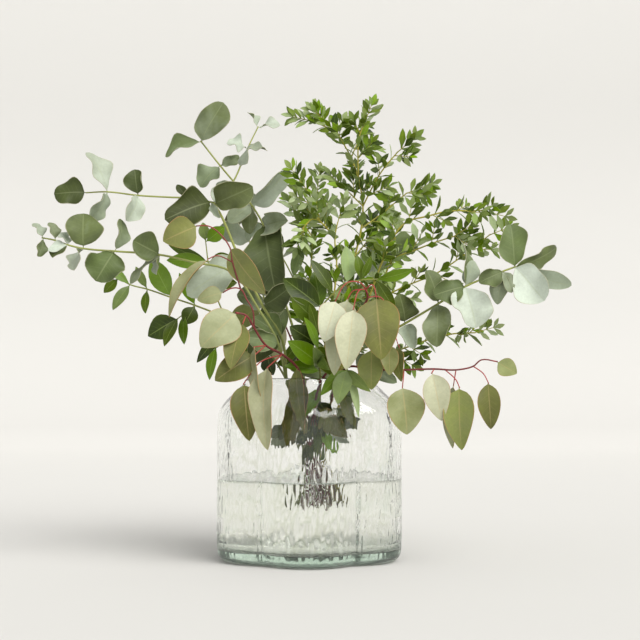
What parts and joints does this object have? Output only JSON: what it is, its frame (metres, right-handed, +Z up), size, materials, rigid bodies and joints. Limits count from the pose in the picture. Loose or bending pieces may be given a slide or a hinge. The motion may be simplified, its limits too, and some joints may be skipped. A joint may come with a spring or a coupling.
{
  "type": "eucalyptus in vase",
  "caption": "Fresh eucalyptus branches with round, drop-shaped and small leaves, standing in water in a lobed glass vase.",
  "frame": {"origin": "centre of the vase's flat underside", "axes": "+Z up, -Y is the front seen in the picture, +X to the viewer's right"},
  "size_m": [0.5755, 0.3602, 0.5162],
  "materials": {
    "glass": "clear, pale green, hammered relief",
    "water": "still water",
    "silver_leaf": "waxy, blue-grey, matt",
    "red_leaf": "waxy, olive to cream, on red stalks",
    "green_leaf": "glossy green",
    "small_leaf": "satin green, paler underneath"
  },
  "bodies": {
    "root": {"vase": "glass", "water": "water", "silver_left_upper": "silver_leaf", "silver_left_low": "silver_leaf", "silver_left_high": "silver_leaf", "silver_right": "silver_leaf", "silver_back_left": "silver_leaf", "silver_back_right": "silver_leaf", "red_left": "red_leaf", "red_centre": "red_leaf", "red_right": "red_leaf", "red_back": "red_leaf", "green_left": "green_leaf", "green_centre": "green_leaf", "green_back": "green_leaf", "small_main": "small_leaf", "small_left": "small_leaf", "small_right_arch": "small_leaf", "small_right_middle": "small_leaf", "small_right_low": "small_leaf", "small_back_left": "small_leaf", "small_back_right": "small_leaf"}
  },
  "joints": []
}
